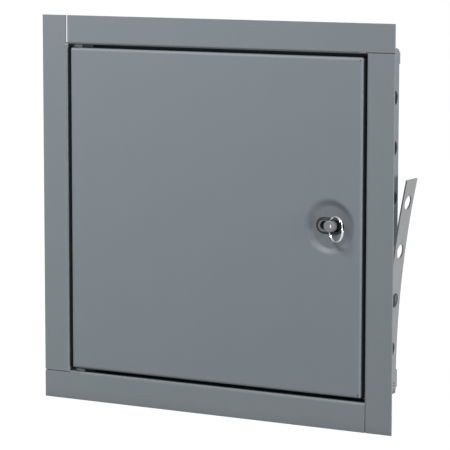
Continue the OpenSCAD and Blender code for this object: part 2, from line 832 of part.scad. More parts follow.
// Obround plate that stands in the cup's floor, round the spindle's head
module latch_escutcheon() {
    color(trim_colour) raised() translate([plate_x, 0, 0]) difference() {
        union() {
            translate([0, plate_y, 0]) slab(case_y - plate_y) obround(plate_l, plate_w);
            translate([0, case_y - plate_flange_t, 0]) slab(plate_flange_t)
                obround(plate_l + 2 * plate_flange, plate_w + 2 * plate_flange);
        }
        translate([0, plate_y - cut, 0]) slab(case_y - plate_y + 2 * cut) plate_opening();
    }
}

// Flanged bushing in the case's front, which carries the spindle's base
module latch_bushing() {
    r = bushing_d / 2;
    flange = 2;
    color(steel_colour) raised() difference() {
        latch_turned([[0, case_y], [r, case_y], [r, case_in_y], [r + flange, case_in_y],
            [r + flange, bushing_end_y], [0, bushing_end_y]]);
        latch_disc(base_d + 2 * fit, case_y - cut, bushing_end_y + cut);
    }
}

// Bushing in the leaf's back, where the shaft comes through to the release lever
module release_bushing() {
    r = shaft_d / 2 + sleeve_t;
    flange = 3;
    front_y = leaf_back_y - leaf_t - sleeve_t;
    back_y = release_flange_y + release_flange_t;
    color(steel_colour) raised() difference() {
        latch_turned([[0, front_y], [r, front_y], [r, release_flange_y],
            [r + flange, release_flange_y], [r + flange, back_y], [0, back_y]]);
        latch_disc(shaft_d + 2 * fit, front_y - cut, back_y + cut);
    }
}

// Compression spring between the case's wall and the bolt's tail
module bolt_spring() {
    steps = 16;
    r = (bolt_spring_d - bolt_spring_wire) / 2;
    x0 = case_x0 + case_t + bolt_spring_wire / 2;
    l = bolt_tail_x - bolt_spring_wire / 2 - x0;
    color(steel_colour) raised() translate([x0, spring_y, 0])
        wire([for (i = [0 : bolt_spring_turns * steps])
            [l * i / steps / bolt_spring_turns, r * cos(360 * i / steps),
                r * sin(360 * i / steps)]], bolt_spring_wire, [1, 0, 0]);
}

// Head with the ring's cross hole, base, collar and shaft in one turned piece
module latch_spindle() {
    r = head_d / 2;
    s = shaft_d / 2;
    edge = 0.6;
    step_y = head_y + head_step_y;
    color(steel_colour) raised() difference() {
        latch_turned([[0, head_y], [r - edge, head_y], [r, head_y + edge],
            [r, step_y - head_step], [base_d / 2, step_y], [base_d / 2, collar_y],
            [collar_d / 2, collar_y], [collar_d / 2, cam_y], [s, cam_y],
            [s, spindle_end_y - edge], [s - edge, spindle_end_y], [0, spindle_end_y]]);
        translate([latch_x, ring_hole_y, 0])
            cylinder(d = ring_hole_d, h = base_d + 2 * cut, center = true);
        // Flat that drives the cam and the release lever, and the clip's groove
        translate([latch_x - s, cam_y, s - flat_d])
            cube([shaft_d, spindle_end_y - cam_y + cut, s]);
        difference() {
            latch_disc(shaft_d + cut, clip_y, clip_y + clip_t + fit);
            latch_disc(shaft_d - 2 * groove_t, clip_y - cut, clip_y + clip_t + cut);
        }
    }
}

// Cam on the shaft; its nose pushes the bolt's foot
module latch_cam() {
    hub_wall = 3;
    nose_rim = 0.5;
    color(zinc_colour) raised() translate([latch_x, cam_y, 0]) {
        slab(cam_t) difference() {
            union() {
                circle(d = shaft_d + 2 * hub_wall);
                translate([nose_x, nose_z]) circle(d = nose_d + 2 * nose_rim);
                rotate(cam_turn / 2 - 90) translate([0, -nose_d / 2])
                    square([cam_r, nose_d]);
            }
            flatted(shaft_d, fit);
        }
        translate([nose_x, 0, nose_z]) rotate([-90, 0, 0])
            cylinder(d = nose_d, h = nose_y - cam_y);
    }
}

// Lever behind the leaf, to open it from inside
module inside_release_lever() {
    hub_d = shaft_d + 7;
    tip_r = 5;
    color(zinc_colour) raised() translate([latch_x, lever_y, 0]) {
        slab(hub_t) difference() {
            circle(d = hub_d);
            flatted(shaft_d, fit);
        }
        slab(lever_t) difference() {
            union() {
                translate([0, -lever_l + tip_r]) circle(tip_r);
                translate([-tip_r, -lever_l + tip_r]) square([2 * tip_r, lever_l - tip_r]);
            }
            circle(d = hub_d - cut);
        }
    }
}

// Clip that holds the shaft in its groove
module spindle_clip() {
    mouth = 3;
    rim = 2;
    color(steel_colour) raised() translate([latch_x, clip_y + fit / 2, 0]) slab(clip_t)
        difference() {
            circle(d = shaft_d + 2 * rim);
            circle(d = shaft_d - 2 * groove_t + 2 * fit);
            translate([-mouth / 2, 0]) square([mouth, shaft_d]);
        }
}

// Two turns of wire side by side, which overlap a little so that they are one solid
module pull_ring() {
    overlap = 0.1;
    lobe = (ring_wire - overlap) / 2;
    color(zinc_colour) raised() translate([latch_x, ring_hole_y, 0]) rotate([0, 0, -ring_rest])
        translate([ring_reach, 0, -ring_drop]) rotate([90, 0, 0]) rotate_extrude()
            for (y = [-lobe, lobe]) translate([ring_mean_r, y]) circle(d = ring_wire, $fn = 24);
}

// Bolt with its bevelled tip, its window for the shaft and its foot at the cam
module latch_bolt() {
    window = shaft_d + 2 * play;
    color(steel_colour) raised() {
        difference() {
            translate([0, 0, -bolt_w / 2]) linear_extrude(bolt_w)
                polygon([[bolt_tail_x, bolt_y], [bolt_tip_x, bolt_y],
                    [bolt_tip_x, bolt_back_y - bolt_bevel],
                    [bolt_tip_x - bolt_bevel, bolt_back_y], [bolt_tail_x, bolt_back_y]]);
            translate([latch_x + bolt_travel / 2, bolt_y - cut, 0]) slab(bolt_t + 2 * cut)
                obround(window + bolt_travel, window);
        }
        translate([foot_x1 - foot_w, bolt_y, -foot_z])
            cube([foot_w, nose_y - bolt_y, foot_z - bolt_w / 2 + cut]);
        translate([bolt_tail_x - spigot_l, spring_y, 0]) rotate([0, 90, 0])
            cylinder(d = spigot_d, h = spigot_l + cut);
    }
}

frame_top();
frame_right();
frame_bottom();
frame_left();
anchor_strap_top();
anchor_strap_right();
anchor_strap_bottom();
anchor_strap_left();
door_stop_top();
door_stop_bottom();
door_stop_lock_side();
hinge_rod();
hinge_rod_clips();
upper_thrust_washer();
lower_thrust_washer();
door_front_pan();
door_back_pan();
insulation_core();
upper_hinge_bracket();
lower_hinge_bracket();
closing_spring();
latch_case();
latch_cover();
latch_screws();
latch_escutcheon();
latch_bushing();
release_bushing();
bolt_spring();
latch_spindle();
latch_cam();
inside_release_lever();
spindle_clip();
pull_ring();
latch_bolt();
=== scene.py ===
"""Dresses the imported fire-rated access panel: primed sheet steel, welds, latch, ring and stage."""

import json
import math

import bmesh
import bpy
from bpy.props import FloatProperty, FloatVectorProperty, IntProperty, PointerProperty
from mathutils import Matrix, Vector


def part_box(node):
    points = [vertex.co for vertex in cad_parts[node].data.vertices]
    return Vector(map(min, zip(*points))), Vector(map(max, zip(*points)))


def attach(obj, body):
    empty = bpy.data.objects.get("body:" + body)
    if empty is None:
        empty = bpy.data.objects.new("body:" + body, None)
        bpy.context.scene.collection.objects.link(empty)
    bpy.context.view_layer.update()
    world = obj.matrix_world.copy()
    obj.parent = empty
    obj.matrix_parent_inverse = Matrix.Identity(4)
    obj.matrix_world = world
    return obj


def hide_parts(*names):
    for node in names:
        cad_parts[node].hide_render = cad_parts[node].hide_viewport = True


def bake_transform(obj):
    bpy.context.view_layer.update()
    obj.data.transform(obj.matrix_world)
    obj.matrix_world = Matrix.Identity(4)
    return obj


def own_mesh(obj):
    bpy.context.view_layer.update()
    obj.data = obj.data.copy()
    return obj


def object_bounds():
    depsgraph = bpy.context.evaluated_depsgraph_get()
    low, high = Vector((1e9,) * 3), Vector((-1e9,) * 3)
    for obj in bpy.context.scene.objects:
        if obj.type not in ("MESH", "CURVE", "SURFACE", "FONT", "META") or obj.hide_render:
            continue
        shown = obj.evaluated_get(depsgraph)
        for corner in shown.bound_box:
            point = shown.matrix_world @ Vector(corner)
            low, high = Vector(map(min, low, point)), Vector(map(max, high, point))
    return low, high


bl_info = {
    "name": "Fire-Rated Access Panel",
    "version": (1, 0, 0),
    "blender": (4, 5, 0),
    "location": "View3D > Sidebar > Access Panel",
    "description": "Builds the finished look of a fire-rated access panel on its CAD frame",
    "category": "Add Mesh",
}

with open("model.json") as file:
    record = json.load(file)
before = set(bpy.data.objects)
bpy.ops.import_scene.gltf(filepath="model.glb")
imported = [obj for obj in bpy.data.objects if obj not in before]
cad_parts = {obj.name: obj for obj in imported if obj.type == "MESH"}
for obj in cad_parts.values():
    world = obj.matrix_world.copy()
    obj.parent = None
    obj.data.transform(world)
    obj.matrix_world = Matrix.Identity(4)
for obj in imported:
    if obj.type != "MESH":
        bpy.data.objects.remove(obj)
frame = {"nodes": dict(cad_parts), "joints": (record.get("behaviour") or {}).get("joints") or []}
CAD_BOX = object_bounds()
NODES = frame["nodes"]
JOINTS = {joint["name"]: joint for joint in frame["joints"]}
SPINDLE_AXIS = Vector(JOINTS["spindle_turn"]["pos_m"])
RING_AXIS = Vector(JOINTS["ring_flip"]["pos_m"])
SIDES = ("right", "top", "left", "bottom")
WHITE = (1, 1, 1, 1)

# The pressed cup as the solids have it: radii, depth and how its wall curves.
SOLID_CUP_RIM, SOLID_CUP_FLOOR, CUP_DEPTH, SOLID_CUP_LEAN = 0.024, 0.0183, 0.0028, 1.5

# Where the camera looks from, and its lens shift, both fitted to the panel's outline.
CAMERA_FROM = (0.4845, -0.86528, 0.12861)
CAMERA_SHIFT = (0.02773, -0.01349)

# Name, place, size and aim of each lamp. Its power is named after it in the stage's settings.
LAMPS = (("key", (-0.35, -1.05, 1.5), 0.8, (-1.3, 0, 0.8)),
         ("side", (1.9, -0.35, 0.03), 0.4, (0, 0, 0)),
         ("back", (-0.7, 1.9, 1.3), 1.2, (0, 0, 0)))

FLOOR_REACH, FLOOR_GREY, FLOOR_GLOW = 30, (0.3, 0.3, 0.3, 1), 1.12
ROOM_TINT = (0.97, 0.985, 1, 1)


def colour(name, text, value):
    return FloatVectorProperty(name=name, description=text, subtype="COLOR", size=3,
                               default=value, min=0, max=1)


def length(name, text, value, least=0.0, most=1.0):
    return FloatProperty(name=name, description=text, default=value, min=least, max=most,
                         subtype="DISTANCE", unit="LENGTH", precision=5)


def angle(name, text, value, least=0.0, most=math.pi):
    return FloatProperty(name=name, description=text, default=value, min=least, max=most,
                         subtype="ANGLE", unit="ROTATION")


def power(name, text, value):
    return FloatProperty(name=name, description=text, default=value, min=0, max=100,
                         subtype="POWER", unit="POWER")


def factor(name, text, value, least=0.0, most=1.0, **kind):
    return FloatProperty(name=name, description=text, default=value, min=least, max=most, **kind)


class PanelFinishes(bpy.types.PropertyGroup):
    """Colours of the panel's finishes"""

    trim_primer: colour("Trim primer", "Baked primer on the frame", (0.197, 0.225, 0.242))
    leaf_primer: colour("Leaf primer", "Baked primer on the leaf", (0.196, 0.224, 0.246))
    strap_primer: colour("Strap primer", "Thin primer on the straps", (0.28, 0.289, 0.295))
    # Lighter colour along primed edges: partly thin primer, partly a painted highlight.
    thin_primer_and_highlight: colour("Thin primer", "Primer where it runs thin on edges", (0.3, 0.325, 0.34))
    zinc: colour("Zinc", "Galvanised sheet", (0.5, 0.52, 0.54))
    turned_steel: colour("Turned steel", "Spindle, bushings and pins", (0.46, 0.48, 0.5))
    nickel: colour("Nickel", "Plated pull ring", (0.9, 0.9, 0.9))
    black: colour("Black enamel", "Latch case", (0.02, 0.02, 0.022))
    spring: colour("Spring wire", "Oiled spring wire", (0.3, 0.3, 0.31))
    wool: colour("Mineral wool", "Core of the leaf", (0.35, 0.31, 0.18))
    nylon: colour("Grey nylon", "Thrust washers", (0.075, 0.09, 0.085))
    dull_zinc: colour("Dull zinc", "Weathered zinc of the spindle", (0.2, 0.215, 0.225))
    scorch: colour("Scorched primer", "Primer over spot welds", (0.09, 0.095, 0.1))


class PanelDetails(bpy.types.PropertyGroup):
    """Sizes of what the finished look adds to the solids"""

    edge_round: length("Edge rounding", "Rounding of cut sheet edges", 0.0002, 0, 0.0005)
    smooth_angle: angle("Smoothing angle", "Edges sharper than this stay sharp",
                        math.radians(32))
    ring_size: length("Ring size", "Middle diameter of the pull ring", 0.0221, 0.02, 0.024)
    ring_wire: length("Ring wire", "Thickness of the ring's wire", 0.00095, 0.0009, 0.0014)
    ring_drop: length("Ring drop", "How far the ring's middle hangs below its hole", 0.0016)
    ring_reach: length("Ring reach", "From the hole to the ring's middle", 0.009878)
    ring_rest: angle("Ring rest", "How far the ring stands off the leaf at rest",
                     math.radians(32), most=math.pi / 2)
    opening: length("Opening", "Side of the frame's clear opening", 0.305)
    sheet: length("Sheet", "Thickness of the frame's sheet", 0.0015)
    seam_shift: length("Seam shift", "How far out from the opening's line the seams lie", 0.0015)
    seam_gap: length("Seam gap", "How much wider the ground seams are than the cut", 0.0003)
    cup_rim: length("Cup rim", "Radius of the pressed cup at the leaf's face", 0.0248)
    cup_floor: length("Cup floor", "Radius of the cup's flat floor", 0.017)
    cup_sag: length("Cup sag", "How much further down the cup's lower wall reaches", 0.002)
    cup_lean: factor("Cup lean", "How much steeper the cup's wall gets to its floor", 1.15, 1, 2)
    bead_width: length("Weld bead", "Width of a weld bead", 0.003, 0.001, 0.006)
    bead_height: length("Bead height", "How far a weld bead stands up", 0.0009, 0.0001, 0.003)
    bead_pitch: length("Bead pitch", "Distance between a bead's ripples", 0.0009, 0.0003, 0.003)
    spot_size: length("Spot weld", "Diameter of a spot weld's mark", 0.0042, 0.001, 0.008)
    tack_size: length("Tack", "Diameter of a tack on a strap", 0.0017, 0.0005, 0.004)
    screw_size: length("Screw", "Thread diameter of the lid's screws", 0.003, 0.002, 0.004)
    seed: IntProperty(name="Seed", description="Varies the ripples of the welds", default=7,
                      min=0)


class PanelStage(bpy.types.PropertyGroup):
    """Light, floor and camera"""

    ground_drop: length("Ground drop", "From the panel's lowest point to the floor", 0.0002)
    room_light: factor("Room light", "Strength of the light from all around", 0.17, 0, 2)
    key_light: power("Key light", "Power of the lamp above the front", 48.5)
    side_light: power("Side light", "Power of the lamp at the lock side", 24.5)
    back_light: power("Back light", "Power of the lamp behind the panel", 22.0)
    focal: factor("Lens", "Focal length", 194.93, 20, 400, subtype="DISTANCE_CAMERA",
                  unit="CAMERA")
    distance: length("Camera distance", "From the camera to the panel's middle", 2.185, 0.5, 10)
    roll: angle("Camera roll", "Tilt of the camera", 0.00069, -math.pi)
    shadow: factor("Shadow", "How much of the object's shadow the white floor shows", 0.12,
                   subtype="FACTOR")


# Node trees

TINT = ("NodeSocketColor", (0.5, 0.5, 0.5, 1))


def feed(node, inputs):
    """Sets a node's inputs: each is a value, or the socket that feeds it."""
    for name, value in inputs.items():
        if isinstance(value, bpy.types.NodeSocket):
            node.id_data.links.new(value, node.inputs[name])
        else:
            node.inputs[name].default_value = value


def add(tree, kind, inputs=None, **settings):
    """New node with its settings and inputs."""
    node = tree.nodes.new(kind)
    for name, value in settings.items():
        setattr(node, name, value)
    feed(node, inputs or {})
    return node


def out(tree, kind, inputs=None, **settings):
    """First output of a new node."""
    return add(tree, kind, inputs, **settings).outputs[0]


def home(*values):
    """Node tree of the first socket among the values."""
    return next(value.id_data for value in values if isinstance(value, bpy.types.NodeSocket))


def once(store, name):
    """Lets a builder make its material or node group only once, under this name."""
    def keep(build):
        def kept():
            made = getattr(bpy.data, store)
            return made[name] if name in made else build(name)
        return kept
    return keep


def new_group(name, kind, inputs, outputs):
    """Node group with named sockets, and the sockets of its input node."""
    tree = bpy.data.node_groups.new(name, kind)
    for way, sockets in (("INPUT", inputs), ("OUTPUT", outputs)):
        for label, (socket_type, value) in sockets.items():
            socket = tree.interface.new_socket(label, in_out=way, socket_type=socket_type)
            if value is not None:
                socket.default_value = value
    return tree, tree.nodes.new("NodeGroupInput").outputs


def close_group(tree, **results):
    """Links a node group's results to its output."""
    add(tree, "NodeGroupOutput", results)
    return tree


def number(value=None):
    return ("NodeSocketFloat", value)


def rgba(value, share=1.0):
    """Colour with its alpha, darker or brighter by a share."""
    return (*(min(1, share * c) for c in value), 1.0)


def calc(operation, *values, **settings):
    """Number that a maths node makes from numbers and sockets."""
    return out(home(*values), "ShaderNodeMath", dict(enumerate(values)), operation=operation,
               **settings)


def times(*values):
    return calc("MULTIPLY", *values)


def vector(operation, *values):
    """Vector, length or dot product that a vector maths node makes."""
    node = add(home(*values), "ShaderNodeVectorMath", dict(enumerate(values)),
               operation=operation)
    return node.outputs["Value" if operation in ("LENGTH", "DOT_PRODUCT") else "Vector"]


def scaled(value, by):
    return out(home(value), "ShaderNodeVectorMath", {0: value, "Scale": by}, operation="SCALE")


def xyz(x=0.0, y=0.0, z=0.0):
    return out(home(x, y, z), "ShaderNodeCombineXYZ", {"X": x, "Y": y, "Z": z})


def ramp(value, start, end, low=0.0, high=1.0):
    """Value carried from the range start to end into the range low to high."""
    return out(home(value), "ShaderNodeMapRange", {
        "Value": value, "From Min": start, "From Max": end, "To Min": low, "To Max": high})


def noise(place, scale, detail, roughness=0.5, distortion=0.0, output="Fac"):
    return add(home(place), "ShaderNodeTexNoise", {
        "Vector": place, "Scale": scale, "Detail": detail, "Roughness": roughness,
        "Distortion": distortion}).outputs[output]


def mixed(share, one, two):
    return add(home(share), "ShaderNodeMix", {"Factor": share, "A": one, "B": two},
               data_type="RGBA").outputs["Result"]


def less(part):
    """What is left of one when the part is taken off."""
    return calc("SUBTRACT", 1.0, part)


def object_place(tree):
    return add(tree, "ShaderNodeTexCoord").outputs["Object"]


def finishes():
    return bpy.context.scene.panel_finishes


def details():
    return bpy.context.scene.panel_details


# Materials

@once("node_groups", "Sprayed skin")
def sprayed_skin(name):
    """Sprayed and baked paint: orange peel, slight mottling, a colour along edges (thin paint with a
    painted highlight on the primers, a painted shadow on the straps) and painted shade in crevices
    and gaps.
    """
    tree, given = new_group(
        name, "ShaderNodeTree",
        {"Colour": TINT, "Thin Colour": TINT, "Mottle": number(0.05),
         "Peel Scale": number(1400), "Edge Width": number(0.0006), "Edge Amount": number(0.5),
         "Crevice Width": number(0.005), "Crevice Amount": number(0.95)},
        {"Colour": TINT, "Roughness": number(), "Height": number()})
    edge_starts, edge_ends, shade_starts, shade_ends = 0.995, 0.86, 0.6, 0.2
    smoothest, roughest = 0.44, 0.6
    place = object_place(tree)
    cloud = noise(place, scale=26, detail=5, roughness=0.62)
    peel = noise(place, given["Peel Scale"], detail=2)
    grit = noise(place, scale=5200, detail=1)
    both = calc("MULTIPLY_ADD", calc("SUBTRACT", grit, 0.5), 0.5, calc("SUBTRACT", cloud, 0.5))
    toned = scaled(given["Colour"], calc("MULTIPLY_ADD", both, given["Mottle"], 1.0))
    # Colour along edges: thin paint together with a painted highlight on the primers, and a painted
    # shadow on the straps.
    soft = out(tree, "ShaderNodeBevel", {"Radius": given["Edge Width"]}, samples=4)
    flat = add(tree, "ShaderNodeNewGeometry").outputs["Normal"]
    turn = vector("DOT_PRODUCT", soft, flat)
    broken = times(ramp(turn, edge_starts, edge_ends), cloud)
    amount = calc("MULTIPLY", broken, given["Edge Amount"], use_clamp=True)
    worn_and_lit_edges = mixed(amount, toned, given["Thin Colour"])
    # Painted shade: ambient occlusion darkens the colour in crevices, gaps and corners, where shade
    # falls.
    near = add(tree, "ShaderNodeAmbientOcclusion", {"Distance": given["Crevice Width"]},
               samples=8)
    dark = times(ramp(near.outputs["AO"], shade_starts, shade_ends),
                 given["Crevice Amount"])
    return close_group(tree, Colour=scaled(worn_and_lit_edges, less(dark)),
                       Roughness=ramp(peel, 0, 1, smoothest, roughest), Height=peel)


@once("node_groups", "Drawn grain")
def drawn_grain(name):
    """Fine lines that rolling, turning or drawing leaves in metal, along one axis."""
    tree, given = new_group(
        name, "ShaderNodeTree",
        {"Colour": TINT, "Stretch": ("NodeSocketVector", (1, 1, 1)), "Contrast": number(0.2),
         "Roughness": number(0.3)},
        {"Colour": TINT, "Roughness": number(), "Height": number()})
    place = object_place(tree)
    stretched = vector("MULTIPLY", place, given["Stretch"])
    lines = noise(stretched, scale=900, detail=4, roughness=0.6)
    cloud = noise(place, scale=120, detail=3)
    gain = calc("MULTIPLY_ADD", calc("SUBTRACT", lines, 0.5), given["Contrast"], 1)
    return close_group(tree, Colour=scaled(given["Colour"], gain), Height=lines,
                       Roughness=calc("MULTIPLY_ADD", cloud, 0.16, given["Roughness"]))


def new_material(name):
    """Material, its node tree and its shader."""
    material = bpy.data.materials.new(name)
    material.use_nodes = True
    tree = material.node_tree
    return material, tree, tree.nodes["Principled BSDF"]


def relief(height, strength, distance):
    return out(home(height), "ShaderNodeBump", {"Height": height, "Strength": strength,
                                                "Distance": distance})


def surface(name, look, values, metallic=0.0, bump=0.1, depth=0.0001):
    """Material whose colour, roughness and bump come from one of the shared groups."""
    if name in bpy.data.materials:
        return bpy.data.materials[name]
    material, tree, shader = new_material(name)
    effect = add(tree, "ShaderNodeGroup", values, node_tree=look()).outputs
    feed(shader, {"Base Color": effect["Colour"], "Roughness": effect["Roughness"],
                  "Normal": relief(effect["Height"], bump, depth), "Metallic": metallic})
    return material


def recoloured(material, change):
    """Lets change make a new base colour from the one that a material has."""
    tree = material.node_tree
    socket = tree.nodes["Principled BSDF"].inputs["Base Color"]
    tree.links.new(change(tree, socket.links[0].from_socket), socket)
    return material


def coat(name, value, mottle=0.07, peel=1400, edge_wear_and_light=None, edge=0.7, shade_reach=0.005, bump=0.22,
         depth=0.0001):
    """Sprayed or moulded surface, with its own colour along the edges (worn paint on some finishes,
    thin paint with a painted highlight on the primers, a painted shadow on the straps) and painted
    shade in its crevices.
    """
    return surface(name, sprayed_skin,
                   {"Colour": rgba(value), "Thin Colour": rgba(edge_wear_and_light or finishes().thin_primer_and_highlight),
                    "Mottle": mottle, "Peel Scale": peel, "Edge Amount": edge,
                    "Crevice Width": shade_reach}, bump=bump, depth=depth)


def bright_metal(name, value, stretch=(1, 1, 1), contrast=0.2, roughness=0.25, bump=0.1,
                 metallic=1.0):
    return surface(name, drawn_grain,
                   {"Colour": rgba(value), "Stretch": stretch, "Contrast": contrast,
                    "Roughness": roughness}, metallic, bump, depth=0.00003)


def trim_primer():
    # Painted shade reaches 20 mm into the frame's gaps, seams and corners.
    return coat("Baked primer, trim", finishes().trim_primer, shade_reach=0.02)


def strap_primer():
    # Painted shadow: the near-black colour along the edges stands for the shade on the straps' cut
    # edges.
    return coat("Thin primer, straps", finishes().strap_primer, mottle=0.16,
                edge_wear_and_light=(0.04, 0.043, 0.045), edge=2.2)


def black_enamel():
    return coat("Black enamel", finishes().black, mottle=0.3, peel=900,
                edge_wear_and_light=(0.05, 0.05, 0.05), edge=0.5, bump=0.2)


# Near-black colour of the ring that paints the shade of the groove round the escutcheon.
def groove_black():
    return coat("Fibre gasket", (0.012, 0.013, 0.014), mottle=0.6, peel=2600,
                edge_wear_and_light=(0.02, 0.02, 0.02), edge=0.2, bump=0.5)


def grey_nylon():
    return coat("Grey nylon", finishes().nylon, mottle=0.15, peel=600,
                edge_wear_and_light=(0.16, 0.17, 0.17), edge=0.3, bump=0.12)


def weld_metal():
    return coat("Primed weld", [0.7 * c for c in finishes().trim_primer], mottle=0.5,
                peel=2400, edge=0.4, bump=0.5, depth=0.0002)


def scorched():
    return coat("Scorched spot weld", finishes().scorch, mottle=0.6, peel=3000,
                edge_wear_and_light=finishes().zinc, edge=0.2, bump=0.4)


def turned_steel():
    return bright_metal("Turned steel", finishes().turned_steel, stretch=(1, 6, 1))


def oiled_steel():
    return bright_metal("Oiled steel", (0.05, 0.052, 0.055), stretch=(1, 6, 1), contrast=0.3,
                        roughness=0.4)


def nickel():
    return bright_metal("Nickel plate", finishes().nickel, contrast=0.06, roughness=0.06,
                        bump=0.04)


def spring_wire():
    return bright_metal("Spring wire", finishes().spring, contrast=0.3, roughness=0.3)


@once("materials", "Baked primer, leaf")
def leaf_primer(name):
    """Primer of the leaf, with painted shade that darkens the latch's cup in noisy blotches."""
    unshaded_radius, shaded_radius, faint, strong = 0.0258, 0.0222, 0.1, 0.34

    def cup_shaded(tree, colour_in):
        place = object_place(tree)
        flat = vector("MULTIPLY", vector("SUBTRACT", place, SPINDLE_AXIS), (1, 0, 1))
        # Painted shade: within the cup's rim the colour darkens, broken up in blotches.
        patch = ramp(vector("LENGTH", flat), unshaded_radius, shaded_radius)
        blots = ramp(noise(place, scale=420, detail=4, roughness=0.7), 0, 1, faint, strong)
        return scaled(colour_in, less(times(patch, blots)))
    return recoloured(coat(name, finishes().leaf_primer), cup_shaded)


@once("materials", "Dull zinc")
def dull_zinc(name):
    """Weathered zinc with a painted highlight: a small bright spot on the spindle's head."""
    # Painted highlight: place, stretch, size and colour of the bright spot.
    spot = Vector((SPINDLE_AXIS[0] + 0.002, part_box("latch_spindle")[0][1],
                   SPINDLE_AXIS[2] + 0.0003))
    stretch, glint_core, glint_edge, glint_white = (1, 0.4, 0.45), 0.0005, 0.0009, (0.95, 0.95, 0.95, 1)

    def painted_glint(tree, colour_in):
        off = vector("SUBTRACT", object_place(tree), spot)
        far = vector("LENGTH", vector("MULTIPLY", off, stretch))
        return mixed(ramp(far, glint_core, glint_edge, 1, 0), colour_in, glint_white)
    return recoloured(bright_metal(name, finishes().dull_zinc, contrast=0.5, roughness=0.5,
                                   bump=0.3, metallic=0.2), painted_glint)


@once("materials", "Galvanised sheet")
def galvanised(name):
    """Galvanised sheet with its crystals."""
    material, tree, shader = new_material(name)
    place = object_place(tree)
    warp = scaled(noise(place, scale=160, detail=3, output="Color"), 0.004)
    crystals = add(tree, "ShaderNodeTexVoronoi", {"Vector": vector("ADD", place, warp),
                                                  "Scale": 110})
    grey = add(tree, "ShaderNodeSeparateColor", {"Color": crystals.outputs["Color"]}).outputs
    value = finishes().zinc
    feed(shader, {
        "Metallic": 0.9, "Roughness": ramp(grey["Green"], 0, 1, 0.3, 0.52),
        "Base Color": mixed(grey["Red"], rgba(value, 0.72), rgba(value)),
        "Normal": relief(grey["Blue"], strength=0.12, distance=0.00004)})
    return material


@once("materials", "Mineral wool")
def wool_felt(name):
    """Pressed mineral wool: fibres that lie in layers."""
    material, tree, shader = new_material(name)
    layers = vector("MULTIPLY", object_place(tree), (1, 9, 1))
    fibres = noise(layers, scale=260, detail=8, roughness=0.75, distortion=1.4)
    value = finishes().wool
    feed(shader, {"Roughness": 0.95, "Normal": relief(fibres, strength=0.8, distance=0.0008),
                  "Base Color": mixed(fibres, rgba(value, 0.45), rgba(value, 1.5))})
    return material


# Geometry trees

def geometry_tree(name, inputs):
    """Geometry tree with its named inputs, a mesh that comes in and a material."""
    return new_group(name, "GeometryNodeTree",
                     {"Geometry": ("NodeSocketGeometry", None), **inputs,
                      "Material": ("NodeSocketMaterial", None)},
                     {"Geometry": ("NodeSocketGeometry", None)})


def joined(*shapes):
    both = add(home(*shapes), "GeometryNodeJoinGeometry")
    for shape in shapes:
        feed(both, {0: shape})
    return both.outputs[0]


def close_tree(given, shape, sharp=math.radians(40)):
    """Ends a geometry tree: plain mesh, smooth shading up to an angle, and the material."""
    tree = home(shape)
    real = out(tree, "GeometryNodeRealizeInstances", {"Geometry": shape})
    turn = out(tree, "GeometryNodeInputMeshEdgeAngle")
    soft = out(tree, "GeometryNodeSetShadeSmooth", {
        "Geometry": real, "Shade Smooth": calc("LESS_THAN", turn, sharp)}, domain="EDGE")
    faces = out(tree, "GeometryNodeSetShadeSmooth", {"Geometry": soft}, domain="FACE")
    return close_group(tree, Geometry=out(tree, "GeometryNodeSetMaterial", {
        "Geometry": faces, "Material": given["Material"]}))


def random_scale(given, size, least, most):
    """Size times a factor that the tree's seed draws for each point."""
    vary = add(home(size), "FunctionNodeRandomValue", {
        2: least, 3: most, "Seed": given["Seed"]}, data_type="FLOAT")
    return scaled(size, vary.outputs[1])


def facing_turn(tree):
    """Rotation that turns Z along the direction stored on each point."""
    facing = out(tree, "GeometryNodeInputNamedAttribute", {"Name": "facing"},
                 data_type="FLOAT_VECTOR")
    return out(tree, "FunctionNodeAlignRotationToVector", {"Vector": facing}, axis="Z")


def circle(tree, sides, radius):
    return out(tree, "GeometryNodeCurvePrimitiveCircle", {"Resolution": sides,
                                                          "Radius": radius})


def swept(curve, sides, radius, caps=False):
    """Tube along a curve, with a round profile of so many sides."""
    tree = home(curve)
    return out(tree, "GeometryNodeCurveToMesh", {
        "Curve": curve, "Profile Curve": circle(tree, sides, radius), "Fill Caps": caps})


def spiral(tree, steps, turns, radius, height):
    return out(tree, "GeometryNodeCurveSpiral", {
        "Resolution": steps, "Rotations": turns, "Start Radius": radius, "End Radius": radius,
        "Height": height, "Reverse": True})


def shifted(shape, offset):
    return out(home(shape), "GeometryNodeTransform", {"Geometry": shape,
                                                      "Translation": offset})


@once("node_groups", "Wound wire")
def wound_wire(name):
    """Coil along Z whose ends close up, joined to the legs in the mesh that comes in."""
    tree, given = geometry_tree(name, {
        "Radius": number(0.004), "Wire": number(0.001), "Turns": number(7.0),
        "Length": number(0.02), "Closing": number(0.6)})
    coil = spiral(tree, 30, given["Turns"], given["Radius"], given["Length"])
    way = add(tree, "GeometryNodeSplineParameter").outputs["Factor"]
    wave = calc("SINE", times(way, 2 * math.pi))
    room = times(given["Length"], given["Closing"])
    lift = times(times(room, -0.5 / math.pi), wave)
    closed = out(tree, "GeometryNodeSetPosition", {"Geometry": coil,
                                                   "Offset": xyz(z=lift)})
    legs = out(tree, "GeometryNodeMeshToCurve", {"Mesh": given["Geometry"]})
    return close_tree(given, swept(joined(closed, legs), 12, times(given["Wire"], 0.5),
                                   caps=True))


